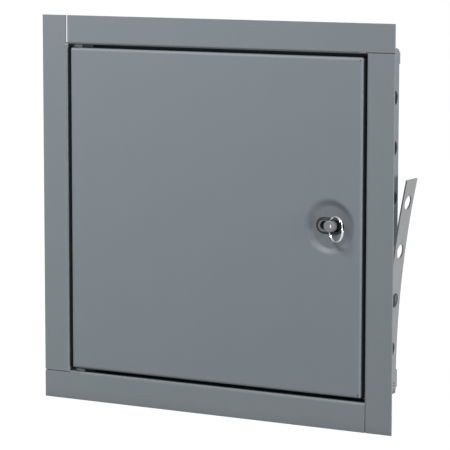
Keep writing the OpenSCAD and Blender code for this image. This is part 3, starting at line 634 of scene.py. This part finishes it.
@once("node_groups", "Weld bead")
def weld_bead(name):
    """Ripples of a weld along the paths that come in, laid flat across Lift."""
    tree, given = geometry_tree(name, {
        "Width": number(0.003), "Height": number(0.0009), "Pitch": number(0.0009),
        "Lift": ("NodeSocketVector", (0.0, 1.0, 0.0)), "Seed": ("NodeSocketInt", 0)})
    stray = 0.00012
    path = out(tree, "GeometryNodeMeshToCurve", {"Mesh": given["Geometry"]})
    even = out(tree, "GeometryNodeResampleCurve", {"Curve": path, "Length": given["Pitch"]},
               mode="LENGTH")
    turn = out(tree, "FunctionNodeAxesToRotation", {
        "Primary Axis": given["Lift"], "Secondary Axis": out(tree, "GeometryNodeInputTangent")},
        primary_axis="Z", secondary_axis="X")
    jump = out(tree, "FunctionNodeRandomValue", {
        0: (-stray,) * 3, 1: (stray,) * 3, "Seed": given["Seed"]}, data_type="FLOAT_VECTOR")
    loose = out(tree, "GeometryNodeSetPosition", {"Geometry": even, "Offset": jump})
    size = xyz(*(times(given[source], share) for source, share in
                       (("Pitch", 1.5), ("Width", 0.5), ("Height", 1.0))))
    drop = out(tree, "GeometryNodeMeshUVSphere", {"Segments": 12, "Rings": 7, "Radius": 1.0})
    row = out(tree, "GeometryNodeInstanceOnPoints", {
        "Points": loose, "Instance": drop, "Rotation": turn,
        "Scale": random_scale(given, size, 0.78, 1.12)})
    return close_tree(given, row, math.radians(80))


@once("node_groups", "Spot marks")
def spot_marks(name):
    """Spot welds at the points that come in: a pressed ring round a low button, on Facing."""
    tree, given = geometry_tree(name, {
        "Size": number(0.0042), "Height": number(0.00025), "Seed": ("NodeSocketInt", 0)})
    rim = swept(circle(tree, 24, 0.42), 6, 0.1)
    button = out(tree, "GeometryNodeMeshUVSphere", {"Segments": 16, "Rings": 8, "Radius": 0.3})
    low = out(tree, "GeometryNodeTransform", {"Geometry": button, "Scale": (1.0, 1.0, 0.22)})
    size = xyz(given["Size"], given["Size"], times(given["Height"], 10.0))
    return close_tree(given, out(tree, "GeometryNodeInstanceOnPoints", {
        "Points": given["Geometry"], "Instance": joined(rim, low),
        "Rotation": facing_turn(tree), "Scale": random_scale(given, size, 0.88, 1.08)}))


@once("node_groups", "Pan screws")
def pan_screws(name):
    """Cross-recessed screws at the points that come in; their heads look along Facing."""
    tree, given = geometry_tree(name, {
        "Thread": number(0.003), "Length": number(0.0097), "Pitch": number(0.0005),
        "Head": number(0.0055), "Head Height": number(0.0018)})

    def part_of(source, share):
        return times(given[source], share)
    wide, bar, slit = (part_of("Head", share) for share in (0.5, 0.56, 0.13))
    cone = out(tree, "GeometryNodeMeshCone", {
        "Vertices": 32, "Side Segments": 1, "Fill Segments": 1, "Radius Bottom": wide,
        "Radius Top": times(wide, 0.78), "Depth": given["Head Height"]})
    head = add(tree, "GeometryNodeMeshBoolean", {"Mesh 1": cone}, operation="DIFFERENCE")
    for x, y in ((bar, slit), (slit, bar)):
        block = out(tree, "GeometryNodeMeshCube", {"Size": xyz(x, y,
                                                               given["Head Height"])})
        above = xyz(z=part_of("Head Height", 1.1))
        feed(head, {"Mesh 2": shifted(block, above)})
    core = part_of("Thread", 0.43)
    shank = out(tree, "GeometryNodeMeshCylinder", {"Vertices": 20, "Radius": core,
                                                   "Depth": given["Length"]})
    turns = calc("DIVIDE", given["Length"], given["Pitch"])
    thread = swept(spiral(tree, 12, turns, core, given["Length"]), 4, part_of("Thread", 0.07),
                   caps=True)
    row = out(tree, "GeometryNodeInstanceOnPoints", {
        "Points": given["Geometry"], "Rotation": facing_turn(tree),
        "Instance": joined(head.outputs[0],
                           shifted(shank, xyz(z=part_of("Length", -0.5))),
                           shifted(thread, xyz(z=part_of("Length", -1.0))))})
    return close_tree(given, row, math.radians(30))


# Mesh pieces

def placed(name, data):
    """Object in the scene with this mesh, light or camera."""
    thing = bpy.data.objects.new(name, data)
    bpy.context.scene.collection.objects.link(thing)
    return thing


def unpacked(name, built):
    """Object with the mesh that was built, which is then freed."""
    mesh = bpy.data.meshes.new(name)
    built.to_mesh(mesh)
    built.free()
    return placed(name, mesh)


def smooth(mesh):
    mesh.shade_smooth()
    mesh.set_sharp_from_angle(angle=details().smooth_angle)


def baked(piece):
    """Turns a piece with modifiers into a plain mesh object of the same name."""
    bpy.context.view_layer.update()
    graph = bpy.context.evaluated_depsgraph_get()
    mesh = bpy.data.meshes.new_from_object(piece.evaluated_get(graph), depsgraph=graph)
    name = piece.name
    bpy.data.objects.remove(piece)
    mesh.name = name
    return placed(name, mesh)


def grown(name, tree, points, paths, material, facing=None, **sizes):
    """Runs a geometry tree on points and paths and keeps the result as a plain mesh."""
    mesh = bpy.data.meshes.new(name)
    mesh.from_pydata([tuple(point) for point in points], paths, [])
    if facing is not None:
        normals = mesh.attributes.new("facing", "FLOAT_VECTOR", "POINT")
        for item, value in zip(normals.data, facing):
            item.vector = value
    piece = placed(name, mesh)
    work = piece.modifiers.new("Shape", "NODES")
    work.node_group = tree
    sockets = {socket.name: socket.identifier for socket in tree.interface.items_tree
               if socket.in_out == "INPUT"}
    for label, value in {**sizes, "Material": material}.items():
        work[sockets[label.replace("_", " ")]] = value
    return baked(piece)


def around(side, points):
    """Turns points (x, y, z) from the right member to another side's place in the pinwheel."""
    for _ in range(SIDES.index(side)):
        points = [(-z, y, x) for x, y, z in points]
    return points


def softened(name, node, width=None, move=None):
    """Copy of a CAD node, with its cut edges rounded and its bends smooth."""
    built = bmesh.new()
    built.from_mesh(NODES[node].data)
    bmesh.ops.remove_doubles(built, verts=built.verts, dist=1e-6)
    if move:
        for vertex in built.verts:
            vertex.co = move(vertex.co)
    bmesh.ops.dissolve_limit(built, angle_limit=math.radians(0.3), verts=built.verts,
                             edges=built.edges)
    piece = unpacked(name, built)
    piece.data.materials.clear()
    edge = piece.modifiers.new("Edges", "BEVEL")
    edge.width = details().edge_round if width is None else width
    edge.segments = 2
    edge.limit_method = "ANGLE"
    edge.angle_limit = details().smooth_angle
    edge.use_clamp_overlap = False
    smooth(piece.data)
    even = piece.modifiers.new("Flat faces", "WEIGHTED_NORMAL")
    even.keep_sharp = True
    return baked(piece)


def skinned(name, rows, closed):
    """Smooth skin over rows of points, each row an outline; open rows get two end caps."""
    built = bmesh.new()
    lines = [[built.verts.new(point) for point in row] for row in rows]
    for one, two in zip(lines, lines[1:] + lines[:1] if closed else lines[1:]):
        for k in range(len(one)):
            built.faces.new((one[k], one[k - 1], two[k - 1], two[k]))
    if not closed:
        built.faces.new(lines[0])
        built.faces.new(reversed(lines[-1]))
    bmesh.ops.recalc_face_normals(built, faces=built.faces)
    piece = unpacked(name, built)
    smooth(piece.data)
    return piece


def paint(mesh, material):
    mesh.materials.clear()
    mesh.materials.append(material)


def dress(piece, body, material, slot, *nodes):
    """Gives a piece its material and its body, if it has one, and hides the CAD nodes it stands for.
    """
    paint(piece.data, material)
    if body:
        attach(piece, body)
    if nodes:
        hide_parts(*nodes)
    return piece


def refine(node, name, body, material, slot, **softening):
    """Puts a softened copy in the place of a CAD node."""
    return dress(softened(name, node, **softening), body, material, slot, node)


def beads(name, lines, lift, material, slot="trim_paint", width=1.0, height=1.0, draw=0):
    """Weld beads along straight lines, each of two points; draw varies their ripples."""
    size = details()
    points = [point for line in lines for point in line]
    edges = [(i, i + 1) for i in range(0, len(points), 2)]
    piece = grown(name, weld_bead(), points, edges, material, Lift=lift, Seed=size.seed + draw,
                  Width=size.bead_width * width, Height=size.bead_height * height,
                  Pitch=size.bead_pitch)
    dress(piece, "frame", material, slot)


def spots(name, sides, places, outward, material, slot="trim_paint", **sizes):
    """Marks of spot welds at places on the right member, and at the same ones round it."""
    points = [point for side in sides for point in around(side, places)]
    facing = [way for side in sides for way in around(side, [outward] * len(places))]
    dress(grown(name, spot_marks(), points, [], material, facing, Seed=details().seed, **sizes),
          "frame", material, slot)


class PANEL_OT_frame(bpy.types.Operator):
    """Builds the four welded members of the frame with softened edges"""

    bl_idname = "panel.frame"
    bl_label = "Frame Members"

    def execute(self, context):
        for side in SIDES:
            refine(f"frame_{side}", f"member_{side}", "frame", trim_primer(), "trim_paint",
                   move=lambda point: self.seam_moved(point, side, details()))
        for side in ("top", "bottom", "lock_side"):
            refine(f"door_stop_{side}", f"stop_{side}", "frame", trim_primer(), "trim_paint")
        return {"FINISHED"}

    def seam_moved(self, point, side, size):
        """Carries the trim's butt seams out to the line of the wall's outer face."""
        half, trim_back, past_corner, end_zone = size.opening / 2, 1e-5, 0.0004, 0.002
        x, y, z = point
        for _ in range(SIDES.index(side)):
            x, z = z, -x
        if y < trim_back:
            if z < -half - past_corner:
                x = max(x, half + size.seam_shift)
            elif z > half - end_zone:
                z += size.seam_shift - size.seam_gap
        return around(side, [(x, y, z)])[0]


class PANEL_OT_welds(bpy.types.Operator):
    """Lays the weld beads of the frame's seams and corners, and its spot welds"""

    bl_idname = "panel.welds"
    bl_label = "Welds"

    def execute(self, context):
        for build in (self.seams, self.corners, self.stops):
            build(details())
        return {"FINISHED"}

    def seams(self, size):
        """Beads behind the trim's three closed seams; daylight shows through the fourth."""
        half, back, rub_y, rub_z = size.opening / 2, 0.0001, -0.0012, 0.0012
        seam = half + size.seam_shift - size.seam_gap / 2
        lines = [around(side, [(half + near, back, seam) for near in (0.0008, 0.0248)])
                 for side in SIDES if side != "top"]
        beads("seam_beads", lines, (0.0, 1.0, 0.0), weld_metal())
        rubs = [around(side, [(half - near, rub_y, half + rub_z) for near in ends])
                for side, ends in (("left", (0.0005, 0.012)), ("right", (0.001, 0.007)))]
        beads("corner_rub", rubs, (0.0, -0.5, -1.0), trim_primer(), width=0.42, height=0.42)

    def corners(self, size):
        """Stitches where each member's wall covers the end of the next one."""
        sunk = 0.0001
        end, top = size.opening / 2 - sunk, size.opening / 2 + size.sheet
        for side in SIDES:
            lines = [around(side, [(end, y, top) for y in stitch])
                     for stitch in ((0.006, 0.016), (0.026, 0.036), (0.047, 0.0585))]
            lift = around(side, [(-0.2, 0.0, 1.0)])[0]
            beads(f"corner_beads_{side}", lines, lift, weld_metal(), width=0.8, height=0.7)

    def stops(self, size):
        """Spot welds on the inner side of the stops' legs."""
        reach, deep, first, pitch, count = size.opening / 2 - size.sheet, 0.0215, -0.12, 0.04, 7
        places = [(reach, deep, first + pitch * i) for i in range(count)]
        spots("stop_spots", ("right", "top", "bottom"), places, (-1.0, 0.0, 0.0), trim_primer(),
              Size=size.spot_size)


class PANEL_OT_straps(bpy.types.Operator):
    """Builds the punched anchor straps on the frame's walls"""

    bl_idname = "panel.straps"
    bl_label = "Anchor Straps"

    def execute(self, context):
        for side in ("top", "right", "bottom", "left"):
            refine(f"anchor_strap_{side}", f"strap_{side}", "frame", strap_primer(),
                   "strap_paint")
        self.tacks(details())
        return {"FINISHED"}

    def tacks(self, size):
        """Three tacks on each strap's pad and a bead along the pad's end."""
        low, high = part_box("anchor_strap_right")
        face, height, under, front, rear = (size.opening / 2 + 2 * size.sheet, 0.00035, 0.0009,
                                            0.002, 0.001)
        places = [(face, y, low[2] + z)
                  for y, z in ((0.0536, 0.0067), (0.0541, 0.0041), (0.0535, 0.0009))]
        spots("strap_tacks", SIDES, places, (1.0, 0.0, 0.0), scorched(), "strap_paint",
              Size=size.tack_size, Height=height)
        for side in SIDES:
            line = around(side, [(face - under, y, low[2])
                                 for y in (low[1] + front, high[1] - rear)])
            beads(f"strap_bead_{side}", [line], around(side, [(0.6, 0.0, -1.0)])[0],
                  strap_primer(), "strap_paint", width=0.8, draw=1)


class PANEL_OT_leaf(bpy.types.Operator):
    """Builds the leaf: primed front pan, galvanised back pan, brackets and wool core"""

    bl_idname = "panel.leaf"
    bl_label = "Door Leaf"

    def execute(self, context):
        refine("door_front_pan", "leaf_front", "leaf", leaf_primer(), "leaf_paint",
               width=0.00012, move=self.cup_moved)
        refine("door_back_pan", "leaf_back", "leaf", galvanised(), "zinc_sheet")
        for side in ("upper", "lower"):
            refine(f"{side}_hinge_bracket", f"{side}_bracket", "leaf", galvanised(),
                   "zinc_sheet")
        paint(NODES["insulation_core"].data, wool_felt())
        return {"FINISHED"}

    def cup_moved(self, point):
        """Gives the pressed cup its wider, softer wall, which reaches further down below."""
        rim, floor, slack, deepest = SOLID_CUP_RIM, SOLID_CUP_FLOOR, 1e-5, 0.006
        rim_share, floor_share = 0.6, 0.4
        size = details()
        x, y, z = point
        across, up = x - SPINDLE_AXIS[0], z - SPINDLE_AXIS[2]
        radius = math.hypot(across, up)
        if not floor - slack < radius < rim + slack or y > deepest:
            return point
        way = min(1, max(0, (rim - radius) / (rim - floor)))
        low = size.cup_sag * ((1 - up / radius) / 2) ** 2
        wide = (size.cup_rim + rim_share * low
                + (size.cup_floor + floor_share * low - size.cup_rim) * way) / radius
        drop = CUP_DEPTH / 2 * (math.cos(math.pi * way ** SOLID_CUP_LEAN)
                                - math.cos(math.pi * way ** size.cup_lean))
        return SPINDLE_AXIS[0] + across * wide, y + drop, SPINDLE_AXIS[2] + up * wide


class PANEL_OT_hinge(bpy.types.Operator):
    """Finishes the hinge rod, its clips, its washers and the closing spring"""

    bl_idname = "panel.hinge"
    bl_label = "Hinge"

    def execute(self, context):
        refine("hinge_rod", "rod", "frame", turned_steel(), "bright_steel")
        refine("hinge_rod_clips", "rod_clips", "frame", turned_steel(), "bright_steel")
        for side in ("upper", "lower"):
            refine(f"{side}_thrust_washer", f"{side}_washer", "frame", grey_nylon(),
                   "grey_nylon", width=0.0003)
        self.closer()
        return {"FINISHED"}

    def closer(self):
        """Torsion spring round the rod: its tang in the rod, its leg on the leaf's edge."""
        wire, radius, turns, pitch, tang = 0.0012, 0.00365, 12, 0.002, 0.0024
        top = turns * pitch / 2
        low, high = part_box("hinge_rod")
        axis = Vector(((low[0] + high[0]) / 2, (low[1] + high[1]) / 2, 0))
        lower = [(-tang, 0, 0), (radius - 0.0008, 0, 0), (radius, 0.0003, 0)]
        bend = [(radius * math.cos(a), radius * math.sin(a), 2 * top)
                for a in (math.radians(15 * i) for i in range(13))]
        reach = axis[1] - wire / 2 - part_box("closing_spring")[0][1] - wire / 2
        upper = bend + [(-radius, -reach * 0.3, 2 * top), (-radius, -reach, 2 * top)]
        points = lower + upper
        edges = [(i, i + 1) for i in range(len(points) - 1) if i != len(lower) - 1]
        piece = grown("closer", wound_wire(), points, edges, spring_wire(), Radius=radius,
                      Wire=wire, Turns=float(turns), Length=2 * top, Closing=0.0)
        piece.data.transform(Matrix.Translation(axis - Vector((0, 0, top))))
        dress(piece, None, spring_wire(), "spring_steel", "closing_spring")
        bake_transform(piece)


class PANEL_OT_latch(bpy.types.Operator):
    """Finishes the latch: case, cover, escutcheon, spindle, cam, bolt and their fixings"""

    bl_idname = "panel.latch"
    bl_label = "Latch"

    def execute(self, context):
        for node in ("latch_case", "latch_cover"):
            refine(node, f"{node}_shell", "leaf", black_enamel(), "black_case")
        refine("latch_escutcheon", "escutcheon", "leaf", leaf_primer(), "leaf_paint",
               width=0.00012)
        for node, metal in (("latch_bushing", oiled_steel()), ("release_bushing", turned_steel())):
            refine(node, f"{node}_turned", "leaf", metal, "bright_steel")
        self.groove_shade()
        refine("latch_spindle", "spindle", "spindle", dull_zinc(), "dull_zinc", width=0.00025)
        for node in ("latch_cam", "inside_release_lever"):
            refine(node, f"{node}_plate", "spindle", galvanised(), "zinc_sheet")
        refine("spindle_clip", "clip", "spindle", spring_wire(), "spring_steel", width=0.0001)
        refine("latch_bolt", "bolt", "bolt", turned_steel(), "bright_steel")
        self.screws(details())
        self.bolt_spring()
        return {"FINISHED"}

    def groove_shade(self):
        """Near-black ring that paints the shade of the groove round the escutcheon as a dark line.
        """
        low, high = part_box("latch_escutcheon")
        flange, inner, width, height, back, steps = 0.002, -0.0012, 0.0014, 0.0005, 0.0008, 96
        middle = Vector(((low[0] + high[0]) / 2, low[1], (low[2] + high[2]) / 2))
        round_end = (high[2] - low[2]) / 2 - flange
        straight = (high[0] - low[0]) / 2 - flange - round_end
        profile = ((inner, back), (inner, -height * 0.3), (inner + width * 0.3, -height * 0.5),
                   (inner + width * 0.75, -height * 0.4), (inner + width, height * 0.1),
                   (inner + width, back))
        rows = []
        for i in range(steps):
            a = 2 * math.pi * i / steps
            outward = Vector((math.cos(a), 0, math.sin(a)))
            centre = middle + Vector((math.copysign(straight, math.cos(a)), 0, 0))
            rows.append([centre + (round_end + r) * outward + Vector((0, y, 0))
                         for r, y in profile])
        dress(skinned("latch_gasket", rows, closed=True), "leaf", groove_black(), "black_case")

    def screws(self, size):
        """The lid's four screws, one near each corner of their solid's box."""
        low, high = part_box("latch_screws")
        edge, head = 0.00275, 0.0018
        points = [(x, high[1] - head, z) for x in (low[0] + edge, high[0] - edge)
                  for z in (low[2] + edge, high[2] - edge)]
        piece = grown("lid_screws", pan_screws(), points, [], turned_steel(),
                      [(0.0, 1.0, 0.0)] * 4, Thread=size.screw_size, Head=2 * edge,
                      Length=high[1] - head - low[1])
        dress(piece, "leaf", turned_steel(), "bright_steel", "latch_screws")

    def bolt_spring(self):
        """Compression spring behind the bolt, built at the length of its solid."""
        wire = 0.001
        low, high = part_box("bolt_spring")
        radius = (high[2] - low[2]) / 2 - wire / 2
        long = high[0] - low[0]
        piece = grown("slam_spring", wound_wire(), [], [], spring_wire(), Radius=radius,
                      Wire=wire, Turns=7.0, Length=long - wire, Closing=0.55)
        middle = Vector((low[0] + wire / 2, (low[1] + high[1]) / 2, (low[2] + high[2]) / 2))
        piece.data.transform(Matrix.Translation(middle) @ Matrix.Rotation(math.pi / 2, 4, "Y"))
        dress(piece, "leaf", spring_wire(), "spring_steel", "bolt_spring")
        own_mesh(piece)


class PANEL_OT_ring(bpy.types.Operator):
    """Winds the split pull ring from two turns of plated wire"""

    bl_idname = "panel.ring"
    bl_label = "Pull Ring"

    def execute(self, context):
        size = details()
        radius, wire = size.ring_size / 2, size.ring_wire / 2
        turn = Matrix.Rotation(-size.ring_rest, 4, "Z")
        place = Matrix.Translation(RING_AXIS) @ turn @ Matrix.Translation(
            (size.ring_reach, 0, -size.ring_drop))
        jog, gap, start, steps = math.radians(34), math.radians(5), math.radians(40), 220
        apart, end_size, sides, axis = 1.06, 0.72, 14, Vector((0, 1, 0))
        total = 4 * math.pi - jog - gap
        rows = []
        for i in range(steps + 1):
            wound = total * i / steps
            crossed = min(1, max(0, (wound - (2 * math.pi - jog)) / jog))
            side = apart * wire * (2 * crossed * crossed * (3 - 2 * crossed) - 1)
            outward = Vector((math.cos(start + wound), 0, math.sin(start + wound)))
            centre = outward * radius + side * axis
            reach = wire * (end_size if i in (0, steps) else 1)
            rows.append([place @ (centre + reach * (math.cos(b) * outward + math.sin(b) * axis))
                         for b in (2 * math.pi * k / sides for k in range(sides))])
        dress(skinned("split_ring", rows, closed=False), "ring", nickel(), "ring_plate",
              "pull_ring")
        return {"FINISHED"}


class PANEL_OT_stage(bpy.types.Operator):
    """Sets up the pale floor, the soft studio light and the camera"""

    bl_idname = "panel.stage"
    bl_label = "Stage"

    def execute(self, context):
        stage = context.scene.panel_stage
        self.floor(stage)
        self.world(context.scene, stage)
        for name, place, size, aim in LAMPS:
            self.lamp(name, place, size, getattr(stage, f"{name}_light"), aim)
        self.camera(context.scene, stage)
        context.scene.view_settings.view_transform = "Standard"
        return {"FINISHED"}

    def floor(self, stage):
        """Grey floor that looks white, apart from part of the object's shadow."""
        low = CAD_BOX[0][2] - stage.ground_drop
        built = bmesh.new()
        bmesh.ops.create_grid(built, x_segments=1, y_segments=1, size=FLOOR_REACH)
        bmesh.ops.translate(built, verts=built.verts, vec=(0, 0, low))
        piece = unpacked("studio_floor", built)
        material, tree, shader = new_material("Studio floor")
        feed(shader, {"Base Color": FLOOR_GREY, "Roughness": 0.9})
        white = out(tree, "ShaderNodeEmission", {"Color": WHITE, "Strength": FLOOR_GLOW})
        part = times(self.seen(tree), 1 - stage.shadow)
        self.show(tree, part, shader.outputs[0], white, "Material Output")
        paint(piece.data, material)

    def world(self, scene, stage):
        world = bpy.data.worlds.new("Studio")
        scene.world = world
        world.use_nodes = True
        tree = world.node_tree
        room = tree.nodes["Background"]
        feed(room, {"Color": ROOM_TINT, "Strength": stage.room_light})
        white = out(tree, "ShaderNodeBackground", {"Color": WHITE, "Strength": 1.0})
        self.show(tree, self.seen(tree), room.outputs[0], white, "World Output")

    def seen(self, tree):
        """One for the camera's own rays and for those that mirror or pass, else zero."""
        path = add(tree, "ShaderNodeLightPath").outputs
        direct = calc("MAXIMUM", path["Is Camera Ray"], path["Is Glossy Ray"])
        return calc("MAXIMUM", direct, path["Is Transmission Ray"])

    def show(self, tree, share, one, two, output):
        """Sends a share of the second shader, and the rest of the first, to the output."""
        both = out(tree, "ShaderNodeMixShader", {0: share, 1: one, 2: two})
        feed(tree.nodes[output], {"Surface": both})

    def lamp(self, name, place, size, watts, aim):
        data = bpy.data.lights.new(name, "AREA")
        data.shape = "DISK"
        data.size = size
        data.energy = watts
        lamp = placed(name, data)
        lamp.location = place
        turned = (Vector(aim) - Vector(place)).to_track_quat("-Z", "Y")
        lamp.rotation_euler = turned.to_euler()

    def camera(self, scene, stage):
        data = bpy.data.cameras.new("camera")
        data.lens = stage.focal
        data.sensor_width = 36
        data.shift_x, data.shift_y = CAMERA_SHIFT
        camera = placed("camera", data)
        back = Vector(CAMERA_FROM).normalized()
        camera.location = back * stage.distance
        look = back.to_track_quat("Z", "Y").to_matrix() @ Matrix.Rotation(stage.roll, 3, "Z")
        camera.rotation_euler = look.to_euler()
        scene.camera = camera


class PANEL_PT_sidebar(bpy.types.Panel):
    """Lists the steps, sizes and colours of the access panel"""

    bl_idname = "PANEL_PT_sidebar"
    bl_label = "Access Panel"
    bl_space_type = "VIEW_3D"
    bl_region_type = "UI"
    bl_category = "Access Panel"

    def draw(self, context):
        column = self.layout.column(align=True)
        for step in STEPS:
            column.operator(step.bl_idname)
        for group in (context.scene.panel_finishes, context.scene.panel_details,
                      context.scene.panel_stage):
            box = self.layout.box()
            for name in group.bl_rna.properties.keys():
                if name not in ("rna_type", "name"):
                    box.prop(group, name)


STEPS = (PANEL_OT_frame, PANEL_OT_welds, PANEL_OT_straps, PANEL_OT_leaf, PANEL_OT_hinge,
         PANEL_OT_latch, PANEL_OT_ring, PANEL_OT_stage)
CLASSES = (PanelFinishes, PanelDetails, PanelStage, *STEPS, PANEL_PT_sidebar)


def register():
    for kind in CLASSES:
        bpy.utils.register_class(kind)
    bpy.types.Scene.panel_finishes = PointerProperty(type=PanelFinishes)
    bpy.types.Scene.panel_details = PointerProperty(type=PanelDetails)
    bpy.types.Scene.panel_stage = PointerProperty(type=PanelStage)


def unregister():
    del bpy.types.Scene.panel_finishes, bpy.types.Scene.panel_details
    del bpy.types.Scene.panel_stage
    for kind in reversed(CLASSES):
        bpy.utils.unregister_class(kind)


def main():
    register()
    for step in STEPS:
        group, name = step.bl_idname.split(".")
        getattr(getattr(bpy.ops, group), name)()


if __name__ == "__main__":
    main()
